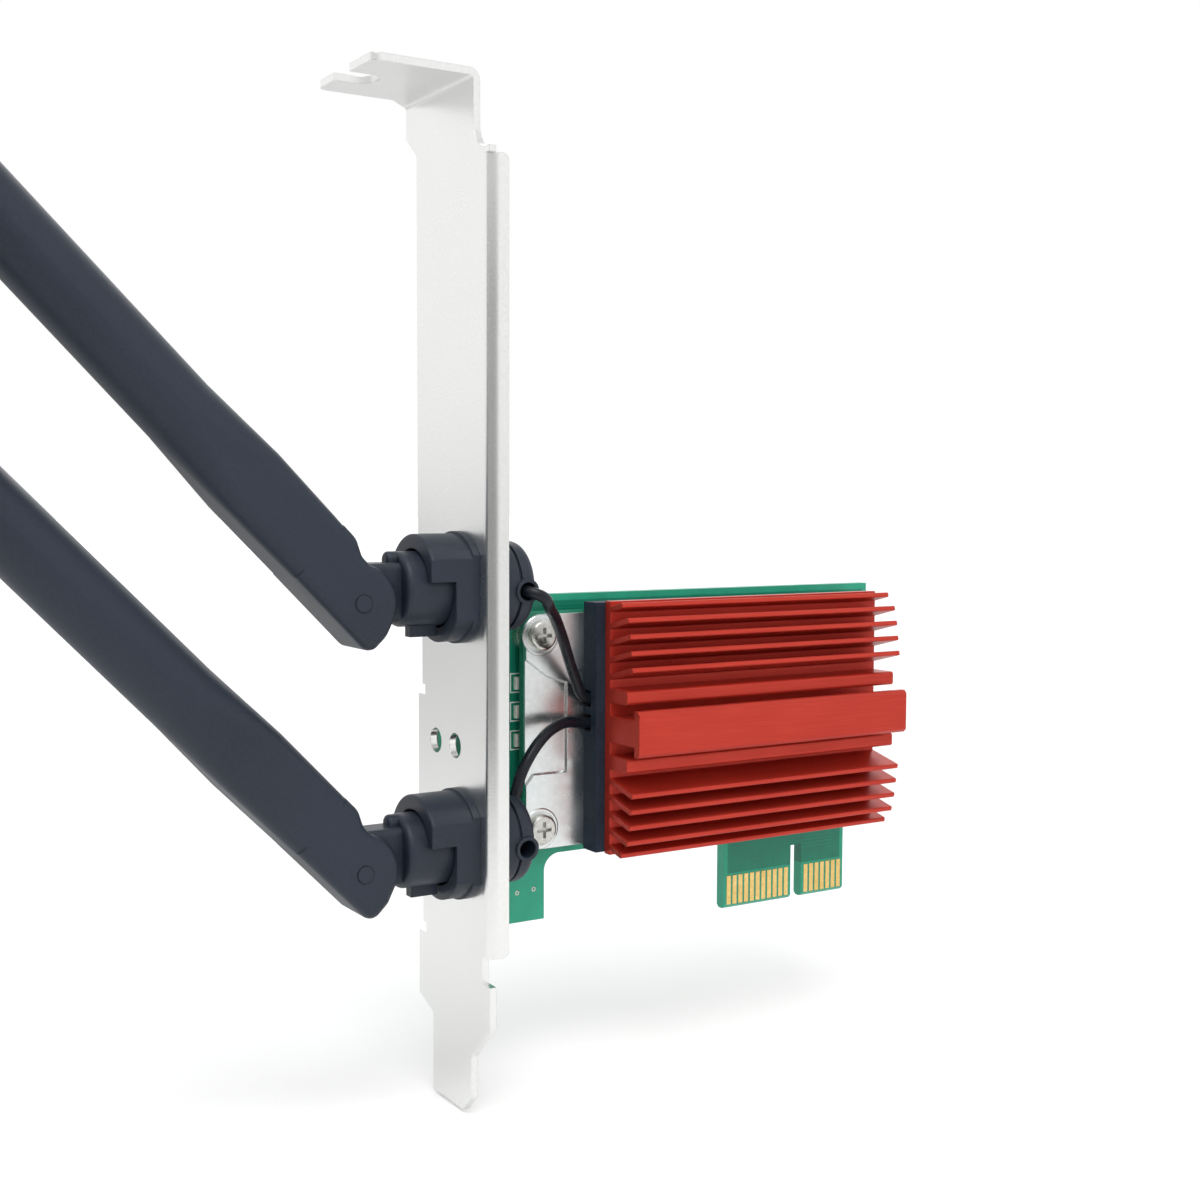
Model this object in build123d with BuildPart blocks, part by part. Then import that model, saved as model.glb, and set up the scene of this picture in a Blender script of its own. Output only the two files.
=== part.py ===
"""Wireless network card: bracket, board, radio module, finned heat sink and two tilting antennas.

X runs into the case from the bracket's outer face, Y runs across the bracket towards its far edge,
Z runs up from the tip of the bracket's tongue. All sizes are in millimetres.
"""
import math
import os

from build123d import *

# Bracket: one folded steel sheet
sheet = 0.86
bracket_width = 18.42
bracket_height = 120.02
bend_inner = 0.5
flange_depth = 2.5
flange_bottom = 19.6
flange_top = 110.2
flange_corner = 0.8
relief_height = 1.2
foot_relief = 3.2
relief_extra = 0.5
tongue_width = 10.0
tongue_shift = 0.4
tongue_far_height = 9.6
tongue_near_height = 7.0
tongue_chamfer = 2.2
foot_far_height = 11.0
foot_near_height = 11.5
neck_near_inset = 3.76
neck_far_outset = 2.9
neck_near_height = 110.9
neck_near_radius = 3.0
neck_far_bottom = 112.8
neck_far_top = 115.3
tab_depth = 12.2
tab_far_inset = 2.2
tab_corner = 1.0
screw_slot_width = 4.42
screw_slot_depth = 4.4
screw_slot_y = 2.9
lamp_hole_radius = 1.5
lamp_hole_height = 43.1
lamp_hole_ys = (4.47, -0.57)

# Ears folded from the far edge, which carry the board
ear_depth = 9.0
ear_height = 8.0
ear_corner = 1.2
ear_levels = (24.2, 53.5)
ear_screw_x = 6.0

# Circuit board with its edge tab
board_thickness = 1.6
board_gap = 0.14
board_length = 68.2
board_top = 60.0
board_bottom = 26.8
leg_bottom = 18.5
leg_right = 16.3
leg_fillet = 2.2
edge_tab_left = 44.8
edge_tab_bottom = 15.8
edge_bevel = 0.4
key_width = 1.9
key_depth = 7.5
first_contact_count = 11
second_contact_count = 7
contact_pitch = 1.0
contact_width = 0.7
contact_height = 4.0
contact_lift = 0.5
contact_thickness = 0.06
contact_margin = 0.475

# Lamps on the board beside the bracket
lamp_x = 12.3
lamp_levels = (41.8, 45.4, 49.0)
lamp_width = 0.85
lamp_height = 1.6
lamp_depth = 0.6

# Screws that hold the board to the ears
board_screw_radius = 1.45
board_head_radius = 2.6
board_head_height = 1.5
head_round = 0.4
screw_clearance = 0.05

# Radio module on standoffs
module_left = 11.9
module_length = 50.95
module_width = 30.0
module_level = 43.05
module_thickness = 1.0
module_corner = 1.6
standoff_height = 1.4
standoff_radius = 2.3
module_screw_inset = 2.0
module_screw_spacing = 24.2
module_screw_radius = 0.95
module_head_radius = 1.85
module_head_height = 1.1
recess_length = 2.0
recess_width = 0.4
recess_depth = 0.6

# Socket that takes the module's edge
socket_grip = 3.0
socket_back = 3.7
socket_height = 3.85
socket_overhang = 0.6
socket_clearance = 0.05
socket_end_gap = 0.25
edge_inset = 1.2

# Spreader plate, radio chip and gap pad
spreader_thickness = 0.8
spreader_length = 36.0
spreader_inset = 0.3
spreader_corner = 2.2
panel_depth = 0.35
panel_taper = 30.0
panel_length = 5.9
panel_top = 49.1
panel_bottom = 37.7
panel_knee = 3.0
panel_knee_rise = 1.0
panel_top_rise = 3.2
panel_foot = 1.1
panel_foot_drop = 1.3
chip_size = 12.0
chip_x = 39.0
chip_clearance = 0.3
pad_thickness = 3.0
pad_left = 20.2
pad_socket_gap = 1.85
pad_inset = 0.2

# Heat sink extrusion
sink_left = 21.5
sink_length = 43.3
sink_level = 43.45
sink_height = 31.8
sink_base = 1.2
fin_thickness = 0.65
fin_round = 0.2
fin_flare = 14.0
fin_pitch = 2.1
first_fin = 6.3
fin_heights = (5.3, 5.0, 4.7, 4.2, 2.8)
rail_offset = 4.2
rail_thickness = 1.8
rail_height = 3.9
rail_round = 0.4
plate_width = 5.7
plate_height = 6.6
plate_thickness = 1.1
plate_chamfer = 0.4
stem_width = 3.2

# Antenna bases on the bracket
antenna_y = -1.8
antenna_levels = {"upper": 61.8, "lower": 31.8}
collar_radius = 6.5
collar_thickness = 0.9
ring_radius = 6.25
ring_depth = 3.0
hood_depth = 6.1
hood_edge = 0.9
hood_round = 0.35
near_flat = 5.2
shank_radius = 3.6
shank_length = 4.2
shank_fit = 0.05

# Swivel barrels that turn in the bases
shaft_radius = 2.6
running_fit = 0.05
side_gap = 0.3
barrel_radius = 4.3
barrel_end = 8.4
barrel_round = 0.7
lead_bore = 1.1
lead_bore_end = 8.2
bore_mouth = 0.4
catch_radius = 3.1
catch_length = 0.5
catch_chamfer = 0.3
lug_width = 1.4
lug_height = 1.2
lug_length = 3.3
nub_radius = 1.0
nub_offset = 3.3
nub_length = 1.1
nub_round = 0.5

# Retaining caps behind the bracket
cap_radius = 5.3
cap_end = 7.5
cap_wall = 0.75
cap_round = 1.2
cap_groove_x = 5.5
cap_groove_width = 0.35
cap_groove_depth = 0.35
cap_notch_width = 2.0
cap_notch_depth = 2.2
outlet_x = 6.0
outlet_angle = 94.0
outlet_radius = 1.05
boss_radius = 1.45
boss_proud = 0.3

# Hinges and antenna sleeves
tilt_at_rest = 46.0
pivot_out = 13.7
pivot_drop = 1.25
arm_rise = 0.62
pin_radius = 0.95
pin_proud = 0.1
pin_fit = 0.02
tongue_radius = 2.0
tongue_thickness = 4.4
tongue_top = 4.3
tongue_lean = 0.3
tongue_round = 0.8
knuckle_radius = 4.35
knuckle_width = 8.2
knuckle_round = 1.1
heel_along = 4.8
heel_lean = 20.0
heel_bend = 2.0
heel_round = 1.3
valley_along = 3.65
valley_above = 3.7
valley_round = 1.5
shoulder_along = 5.5
shoulder_round = 2.0
fork_depth = 5.8
fork_wall = 0.9
sleeve_length = 108.0
sleeve_root = 7.95
root_corner = 1.5
swell_from = 18.0
sleeve_swell = 8.35
swell_corner = 2.0
round_from = 28.0
sleeve_round = 8.1
sleeve_tip = 7.2
tip_round = 2.9
radiator_bore = 1.9
radiator_start = 7.0
radiator_end = 94.0
radiator_gap = 0.25
radiator_rod = 0.7
radiator_can_start = 20.0
radiator_can_length = 30.0

# Coaxial leads and their plugs
lead_radius = 0.685
lead_lift = 0.285
lead_start = 7.9
plug_x = 25.5
plug_radius = 1.3
plug_height = 1.55
plug_levels = {"upper": 46.95, "lower": 43.95}
tail_length = 2.6
tail_width = 1.6
tail_thickness = 1.4
receptacle_size = 1.9
receptacle_height = 0.6
pocket_clearance = 0.35
lead_turn = 1.6
lead_straight = 0.8
outlet_run = 3.1
exit_out = 0.7
exit_ahead = 0.1
loop_ahead = 1.75
loop_side = 6.7
loop_drop = 1.1
rise_in = 0.5
rise_height = 3.8
rise_out = 0.7

# Values that follow from the sizes above
near_edge = -bracket_width / 2
far_edge = bracket_width / 2
bend_outer = bend_inner + sheet
relief_width = bend_outer + relief_extra
flange_height = flange_top - flange_bottom
tab_under = bracket_height - sheet
neck_near = near_edge + neck_near_inset
neck_far = far_edge + neck_far_outset
tab_far = neck_far - tab_far_inset
board_back = far_edge - sheet
board_face = board_back - board_thickness
board_left = bend_outer + board_gap
board_right = board_left + board_length
module_back = board_face - standoff_height
module_face = module_back - module_thickness
spreader_face = module_face - spreader_thickness
pad_face = spreader_face - pad_thickness
sink_face = pad_face - sink_base
module_right = module_left + module_length
module_screw_x = module_left + module_screw_inset
pad_length = module_right - socket_grip - pad_socket_gap - pad_left
module_screw_levels = [module_level + side * module_screw_spacing / 2 for side in (-1, 1)]
module_screw_spots = [(module_screw_x, level) for level in module_screw_levels]
ear_screw_spots = [(ear_screw_x, level) for level in ear_levels]
lead_y = spreader_face - lead_radius - lead_lift
plug_base = module_face - receptacle_height
plug_face = plug_base - plug_height
tail_end = plug_x - tail_length
plug_spots = [(plug_x, level) for level in plug_levels.values()]
plug_middle = sum(plug_levels.values()) / 2
plug_span = plug_levels["upper"] - plug_levels["lower"] + 2 * plug_radius
pocket_radius = barrel_radius + side_gap
floor_out = collar_thickness + side_gap
cap_bore = shank_radius + shank_fit
cap_cavity = cap_end - cap_wall
outlet_way = (0, -math.sin(math.radians(outlet_angle)), math.cos(math.radians(outlet_angle)))
catch_start = shank_length + side_gap
catch_end = catch_start + catch_length
contact_counts = (first_contact_count, second_contact_count)
group_widths = [(n - 1) * contact_pitch + contact_width + 2 * contact_margin for n in contact_counts]
key_left = edge_tab_left + group_widths[0]
key_right = key_left + key_width
edge_tab_right = key_right + group_widths[1]
diagonal = math.sqrt(0.5)


def facing(y):
    """Plane at depth y: sketches read X across and Z up, extrusions come forward to -Y."""
    return Plane.XZ.offset(-y)


def swivel_plane(level):
    """Plane on the bracket's outer face at an antenna axis, facing out of the case, with Z up."""
    return Plane(origin=(0, antenna_y, level), x_dir=(0, -1, 0), z_dir=(-1, 0, 0))


def turning_plane(level):
    """Plane through an antenna axis that reads X across and radius up, for turned profiles."""
    return Plane(origin=(0, antenna_y, level), x_dir=(1, 0, 0), z_dir=(0, -1, 0))


def swivel_axis(level):
    return Axis((0, antenna_y, level), (1, 0, 0))


def arm_plane(level):
    """Plane at a hinge, square to the antenna arm at rest, its x pointing to the arm's upper side."""
    tilt = math.radians(tilt_at_rest)
    pivot = (-pivot_out, antenna_y, level - pivot_drop)
    along = (-math.cos(tilt), 0, math.sin(tilt))
    above = (math.sin(tilt), 0, math.cos(tilt))
    return Plane(origin=pivot, x_dir=above, z_dir=along)


def hinge_plane(level):
    """Plane through the middle of a hinge, square to its pin, its x running along the arm."""
    arm = arm_plane(level)
    return Plane(origin=arm.origin, x_dir=arm.z_dir, z_dir=arm.y_dir)


def folded_section(edge, inward, depth, bottom):
    """Section of a strip that folds from the bracket's face to +X at one of its edges."""
    tangent = edge + inward * bend_outer
    inner = edge + inward * sheet
    outer_mid = bend_outer - diagonal * bend_outer
    inner_mid = bend_outer - diagonal * bend_inner
    with BuildSketch(Plane.XY.offset(bottom)) as section:
        with BuildLine():
            ThreePointArc((0, tangent), (outer_mid, edge + inward * outer_mid), (bend_outer, edge))
            Polyline((bend_outer, edge), (depth, edge), (depth, inner), (bend_outer, inner))
            ThreePointArc((bend_outer, inner), (inner_mid, edge + inward * inner_mid), (sheet, tangent))
            Line((sheet, tangent), (0, tangent))
        make_face()
    return section.sketch


flange_section = folded_section(near_edge, 1, flange_depth, flange_bottom)
ear_sections = [folded_section(far_edge, -1, ear_depth, level - ear_height / 2) for level in ear_levels]

# Bracket
with BuildPart() as bracket:
    with BuildSketch(Plane.YZ) as face:
        with BuildLine():
            Polyline(
                (tongue_shift - tongue_width / 2 + tongue_chamfer, 0),
                (tongue_shift + tongue_width / 2, 0),
                (tongue_shift + tongue_width / 2, tongue_far_height),
                (far_edge, foot_far_height),
                (far_edge, neck_far_bottom),
                (neck_far, neck_far_top),
                (neck_far, tab_under - bend_inner),
                (neck_near, tab_under - bend_inner),
                (neck_near, neck_near_height),
                (near_edge, neck_near_height),
                (near_edge, foot_near_height),
                (tongue_shift - tongue_width / 2, tongue_near_height),
                (tongue_shift - tongue_width / 2, tongue_chamfer),
                close=True,
            )
        make_face()
        fillet(face.vertices().sort_by_distance((neck_near, neck_near_height, 0))[0], neck_near_radius)
        with Locations((near_edge, flange_bottom)):
            Rectangle(bend_outer, flange_height, align=(Align.MIN, Align.MIN), mode=Mode.SUBTRACT)
            Rectangle(relief_width, foot_relief, align=(Align.MIN, Align.MAX), mode=Mode.SUBTRACT)
        with Locations(*[(far_edge, level) for level in ear_levels]):
            Rectangle(bend_outer, ear_height, align=(Align.MAX, Align.CENTER), mode=Mode.SUBTRACT)
        with Locations(*[(far_edge, level + ear_height / 2) for level in ear_levels]):
            Rectangle(relief_width, relief_height, align=(Align.MAX, Align.MIN), mode=Mode.SUBTRACT)
        with Locations(*[(far_edge, level - ear_height / 2) for level in ear_levels]):
            Rectangle(relief_width, relief_height, align=(Align.MAX, Align.MAX), mode=Mode.SUBTRACT)
        with Locations(*[(y, lamp_hole_height) for y in lamp_hole_ys]):
            Circle(lamp_hole_radius, mode=Mode.SUBTRACT)
        with Locations(*[(antenna_y, level) for level in antenna_levels.values()]):
            Circle(shank_radius + shank_fit, mode=Mode.SUBTRACT)
    extrude(amount=sheet)
    extrude(flange_section, amount=flange_height)
    for ear_section in ear_sections:
        extrude(ear_section, amount=ear_height)
    rims = bracket.edges().filter_by(Axis.Y)
    fillet(rims.filter_by_position(Axis.X, flange_depth - 0.01, flange_depth + 0.01), flange_corner)
    rims = bracket.edges().filter_by(Axis.Y)
    fillet(rims.filter_by_position(Axis.X, ear_depth - 0.01, ear_depth + 0.01), ear_corner)
    with BuildSketch(facing(neck_far)):
        with BuildLine():
            Line((0, tab_under - bend_inner), (sheet, tab_under - bend_inner))
            ThreePointArc(
                (sheet, tab_under - bend_inner),
                (diagonal * bend_outer - bend_inner, tab_under - bend_inner + diagonal * bend_outer),
                (-bend_inner, bracket_height),
            )
            Line((-bend_inner, bracket_height), (-bend_inner, tab_under))
            ThreePointArc(
                (-bend_inner, tab_under),
                (diagonal * bend_inner - bend_inner, tab_under - bend_inner + diagonal * bend_inner),
                (0, tab_under - bend_inner),
            )
        make_face()
    extrude(amount=neck_far - neck_near)
    with BuildSketch(Plane.XY.offset(tab_under)) as tab:
        with BuildLine():
            Polyline(
                (-bend_inner, neck_near),
                (-tab_depth, neck_near),
                (-tab_depth, tab_far),
                (-bend_inner - tab_far_inset, tab_far),
                (-bend_inner, neck_far),
                close=True,
            )
        make_face()
        fillet(tab.vertices().group_by(Axis.X)[0], tab_corner)
        with Locations((screw_slot_depth - screw_slot_width / 2 - tab_depth, screw_slot_y)):
            Circle(screw_slot_width / 2, mode=Mode.SUBTRACT)
            Rectangle(
                screw_slot_depth,
                screw_slot_width,
                align=(Align.MAX, Align.CENTER),
                mode=Mode.SUBTRACT,
            )
    extrude(amount=sheet)
    with BuildSketch(facing(far_edge)):
        with Locations(*ear_screw_spots):
            Circle(board_screw_radius + screw_clearance)
    extrude(amount=sheet, mode=Mode.SUBTRACT)

# Circuit board
with BuildPart() as circuit_board:
    with BuildSketch(facing(board_back)) as outline:
        with BuildLine():
            Polyline(
                (board_left, leg_bottom),
                (leg_right, leg_bottom),
                (leg_right, board_bottom),
                (edge_tab_left, board_bottom),
                (edge_tab_left, edge_tab_bottom),
                (key_left, edge_tab_bottom),
                (key_left, edge_tab_bottom + key_depth),
                (key_right, edge_tab_bottom + key_depth),
                (key_right, edge_tab_bottom),
                (edge_tab_right, edge_tab_bottom),
                (edge_tab_right, board_bottom),
                (board_right, board_bottom),
                (board_right, board_top),
                (board_left, board_top),
                close=True,
            )
        make_face()
        fillet(outline.vertices().sort_by_distance((leg_right, board_bottom, 0))[0], leg_fillet)
        with Locations(*ear_screw_spots):
            Circle(board_screw_radius + screw_clearance, mode=Mode.SUBTRACT)
        with Locations(*module_screw_spots):
            Circle(module_screw_radius + screw_clearance, mode=Mode.SUBTRACT)
    extrude(amount=board_thickness)
    board_edges = circuit_board.edges().filter_by(Axis.X)
    tab_edges = board_edges.filter_by_position(Axis.Z, edge_tab_bottom - 0.01, edge_tab_bottom + 0.01)
    chamfer(tab_edges, edge_bevel)

contact_spots = []
for group_left, count in zip((edge_tab_left, key_right), contact_counts):
    first_contact = group_left + contact_margin + contact_width / 2
    for n in range(count):
        contact_spots.append((first_contact + n * contact_pitch, edge_tab_bottom + contact_lift))

# Gold contacts on both sides of the edge tab
with BuildPart() as edge_contacts:
    with BuildSketch(facing(board_face), facing(board_back + contact_thickness)):
        with Locations(*contact_spots):
            Rectangle(contact_width, contact_height, align=(Align.CENTER, Align.MIN))
    extrude(amount=contact_thickness)

# Indicator lamps
with BuildPart() as indicator_lamps:
    with BuildSketch(facing(board_face)):
        with Locations(*[(lamp_x, level) for level in lamp_levels]):
            Rectangle(lamp_width, lamp_height)
    extrude(amount=lamp_depth)

# Screws through the board into the ears
with BuildPart() as board_screws:
    with BuildSketch(facing(far_edge)):
        with Locations(*ear_screw_spots):
            Circle(board_screw_radius)
    extrude(amount=far_edge - board_face)
    with BuildSketch(facing(board_face)):
        with Locations(*ear_screw_spots):
            Circle(board_head_radius)
    extrude(amount=board_head_height)
    fillet(board_screws.faces().group_by(Axis.Y)[0].edges(), head_round)
    with BuildSketch(facing(board_face - board_head_height + recess_depth)):
        with Locations(*ear_screw_spots):
            Rectangle(recess_length, recess_width)
            Rectangle(recess_width, recess_length)
    extrude(amount=recess_depth, mode=Mode.SUBTRACT)

# Standoffs under the radio module
with BuildPart() as module_standoffs:
    with BuildSketch(facing(board_face)):
        with Locations(*module_screw_spots):
            Circle(standoff_radius)
            Circle(module_screw_radius + screw_clearance, mode=Mode.SUBTRACT)
    extrude(amount=standoff_height)

# Radio module's own board
with BuildPart() as module_board:
    with BuildSketch(facing(module_back)) as module_outline:
        with Locations((module_left, module_level)):
            Rectangle(module_length - socket_grip, module_width, align=(Align.MIN, Align.CENTER))
            Rectangle(module_length, module_width - 2 * edge_inset, align=(Align.MIN, Align.CENTER))
        fillet(module_outline.vertices().group_by(Axis.X)[0], module_corner)
        with Locations(*module_screw_spots):
            Circle(module_screw_radius + screw_clearance, mode=Mode.SUBTRACT)
    extrude(amount=module_thickness)

# Socket for the module's edge
with BuildPart() as module_socket:
    with BuildSketch(facing(board_face)):
        with Locations((module_right - socket_grip, module_level)):
            Rectangle(
                socket_grip + socket_back,
                module_width + 2 * socket_overhang,
                align=(Align.MIN, Align.CENTER),
            )
    extrude(amount=socket_height)
    with BuildSketch(facing(module_back + socket_clearance)):
        with Locations((module_right - socket_grip, module_level)):
            Rectangle(
                socket_grip + socket_end_gap,
                module_width - 2 * edge_inset + 2 * socket_clearance,
                align=(Align.MIN, Align.CENTER),
            )
    extrude(amount=module_thickness + 2 * socket_clearance, mode=Mode.SUBTRACT)

# Silver spreader plate on the module, with a pressed panel at its free end
with BuildPart() as heat_spreader:
    with BuildSketch(facing(module_face)) as plate_outline:
        with Locations((module_left, module_level)):
            Rectangle(spreader_length, module_width - 2 * spreader_inset, align=(Align.MIN, Align.CENTER))
        fillet(plate_outline.vertices().group_by(Axis.X)[0], spreader_corner)
        with Locations((chip_x, module_level)):
            Rectangle(chip_size + 2 * chip_clearance, chip_size + 2 * chip_clearance, mode=Mode.SUBTRACT)
        with Locations((plug_x, plug_middle)):
            Rectangle(
                2 * plug_radius + 2 * pocket_clearance,
                plug_span + 2 * pocket_clearance,
                mode=Mode.SUBTRACT,
            )
        with Locations(*module_screw_spots):
            Circle(module_screw_radius + screw_clearance, mode=Mode.SUBTRACT)
    extrude(amount=spreader_thickness)
    with BuildSketch(facing(spreader_face)):
        with BuildLine():
            Polyline(
                (module_left, panel_top + panel_top_rise),
                (module_left + panel_knee, panel_top + panel_knee_rise),
                (module_left + panel_length, panel_top),
                (module_left + panel_length, panel_bottom),
                (module_left + panel_foot, panel_bottom),
                (module_left, panel_bottom - panel_foot_drop),
                (module_left - panel_foot, panel_bottom - panel_foot_drop),
                (module_left - panel_foot, panel_top + panel_top_rise),
                close=True,
            )
        make_face()
    extrude(amount=-panel_depth, taper=panel_taper, mode=Mode.SUBTRACT)

# Radio chip in the plate's window
with BuildPart() as radio_chip:
    with BuildSketch(facing(module_face)):
        with Locations((chip_x, module_level)):
            Rectangle(chip_size, chip_size)
    extrude(amount=spreader_thickness)

# Screws through the module and its standoffs
with BuildPart() as module_screws:
    with BuildSketch(facing(board_back)):
        with Locations(*module_screw_spots):
            Circle(module_screw_radius)
    extrude(amount=board_back - spreader_face)
    with BuildSketch(facing(spreader_face)):
        with Locations(*module_screw_spots):
            Circle(module_head_radius)
    extrude(amount=module_head_height)
    fillet(module_screws.faces().group_by(Axis.Y)[0].edges(), head_round)
    with BuildSketch(facing(spreader_face - module_head_height + recess_depth)):
        with Locations(*module_screw_spots):
            Rectangle(recess_length, recess_width)
            Rectangle(recess_width, recess_length)
    extrude(amount=recess_depth, mode=Mode.SUBTRACT)

# Black gap pad with a pocket for the plugs and a channel for each lead
with BuildPart() as gap_pad:
    with BuildSketch(facing(spreader_face)):
        with Locations((pad_left, sink_level)):
            Rectangle(pad_length, sink_height - 2 * pad_inset, align=(Align.MIN, Align.CENTER))
    extrude(amount=pad_thickness)
    with BuildSketch(facing(spreader_face)):
        with Locations((plug_x + plug_radius + pocket_clearance, plug_middle)):
            Rectangle(
                tail_length + plug_radius + 2 * pocket_clearance,
                plug_span + 2 * pocket_clearance,
                align=(Align.MAX, Align.CENTER),
            )
        with Locations(*[(pad_left, level) for level in plug_levels.values()]):
            Rectangle(
                tail_end - pad_left,
                2 * lead_radius + 2 * pocket_clearance,
                align=(Align.MIN, Align.CENTER),
            )
    extrude(amount=spreader_face - plug_face + pocket_clearance, mode=Mode.SUBTRACT)

# Red finned heat sink
with BuildPart() as heat_sink:
    with BuildSketch(Plane.YZ.offset(sink_left)):
        with Locations((sink_face, sink_level)):
            Rectangle(sink_base, sink_height, align=(Align.MIN, Align.CENTER))
        for number, height in enumerate(fin_heights):
            offset_z = first_fin + number * fin_pitch
            for side in (-1, 1):
                with Locations((pad_face - fin_thickness / 2, sink_level + side * offset_z)):
                    RectangleRounded(
                        height + sink_base - fin_thickness / 2,
                        fin_thickness,
                        fin_round,
                        rotation=-side * fin_flare,
                        align=(Align.MAX, Align.CENTER),
                    )
        for side in (-1, 1):
            with Locations((pad_face - fin_thickness / 2, sink_level + side * rail_offset)):
                RectangleRounded(
                    rail_height + sink_base - fin_thickness / 2,
                    rail_thickness,
                    rail_round,
                    align=(Align.MAX, Align.CENTER),
                )
        with Locations((pad_face, sink_level)):
            Rectangle(
                plate_height + sink_base - plate_thickness / 2,
                stem_width,
                align=(Align.MAX, Align.CENTER),
            )
        with BuildLine():
            Polyline(
                (sink_face - plate_height, sink_level - plate_width / 2 + plate_chamfer),
                (sink_face - plate_height, sink_level + plate_width / 2 - plate_chamfer),
                (sink_face - plate_height + plate_chamfer, sink_level + plate_width / 2),
                (sink_face - plate_height + plate_thickness, sink_level + plate_width / 2),
                (sink_face - plate_height + plate_thickness, sink_level - plate_width / 2),
                (sink_face - plate_height + plate_chamfer, sink_level - plate_width / 2),
                close=True,
            )
        make_face()
    extrude(amount=sink_length)

# Receptacles on the module for the leads' plugs
with BuildPart() as coax_receptacles:
    with BuildSketch(facing(module_face)):
        with Locations(*plug_spots):
            Rectangle(receptacle_size, receptacle_size)
    extrude(amount=receptacle_height)


def make_plug(level):
    """Round plug with a flat tail that holds the end of its lead."""
    with BuildPart() as plug:
        with BuildSketch(facing(plug_base)):
            with Locations((plug_x, level)):
                Circle(plug_radius)
        extrude(amount=plug_height)
        with BuildSketch(facing(lead_y + tail_thickness / 2)):
            with Locations((tail_end, level)):
                Rectangle(tail_length, tail_width, align=(Align.MIN, Align.CENTER))
        extrude(amount=tail_thickness)
    return plug.part


def make_lead(name, points):
    """Round lead along straight runs joined by arcs as large as the runs allow."""
    radii = []
    for before, corner, after in zip(points, points[1:], points[2:]):
        run_in = Vector(*corner) - Vector(*before)
        run_out = Vector(*after) - Vector(*corner)
        half_turn = math.radians(run_in.get_angle(run_out)) / 2
        radii.append(0.45 * min(run_in.length, run_out.length) / math.tan(half_turn))
    with BuildPart() as lead:
        with BuildLine() as route:
            FilletPolyline(*points, radius=radii)
        path = route.wire()
        with BuildSketch(Plane(origin=path @ 0, z_dir=path % 0)):
            Circle(lead_radius)
        sweep(path=path)
    section_volume = math.pi * lead_radius**2 * path.length
    print(name, "radii", [round(r, 2) for r in radii], "length", round(path.length, 2))
    print(name, "volume", round(lead.part.volume, 3), "section times length", round(section_volume, 3))
    return lead.part


def make_antenna_base(level):
    """Round plate and hooded ring outside the bracket, with a shank through it."""
    out = swivel_plane(level)
    with BuildPart() as base:
        with BuildSketch(out):
            Circle(collar_radius)
            with Locations((near_flat, 0)):
                Rectangle(
                    collar_radius,
                    2 * collar_radius,
                    align=(Align.MIN, Align.CENTER),
                    mode=Mode.SUBTRACT,
                )
        extrude(amount=collar_thickness)
        with BuildSketch(out.offset(collar_thickness)):
            Circle(ring_radius)
            Circle(pocket_radius, mode=Mode.SUBTRACT)
            with Locations((near_flat, 0)):
                Rectangle(
                    collar_radius,
                    2 * collar_radius,
                    align=(Align.MIN, Align.CENTER),
                    mode=Mode.SUBTRACT,
                )
        extrude(amount=ring_depth - collar_thickness)
        with BuildSketch(out.offset(ring_depth)):
            Circle(ring_radius)
            Circle(pocket_radius, mode=Mode.SUBTRACT)
            with Locations((near_flat, 0)):
                Rectangle(
                    collar_radius,
                    2 * collar_radius,
                    align=(Align.MIN, Align.CENTER),
                    mode=Mode.SUBTRACT,
                )
            with Locations((0, hood_edge)):
                Rectangle(
                    3 * ring_radius,
                    2 * ring_radius,
                    align=(Align.CENTER, Align.MAX),
                    mode=Mode.SUBTRACT,
                )
        extrude(amount=hood_depth - ring_depth)
        hood_front = base.faces().sort_by(Axis.X)[0]
        hood_rims = hood_front.edges().filter_by(GeomType.CIRCLE)
        fillet([rim for rim in hood_rims if rim.radius > (ring_radius + pocket_radius) / 2], hood_round)
        with BuildSketch(out):
            Circle(shank_radius)
        extrude(amount=-shank_length)
        with BuildSketch(out.offset(collar_thickness)):
            Circle(shaft_radius + running_fit)
        extrude(amount=-collar_thickness - shank_length, mode=Mode.SUBTRACT)
    return base.part


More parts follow.
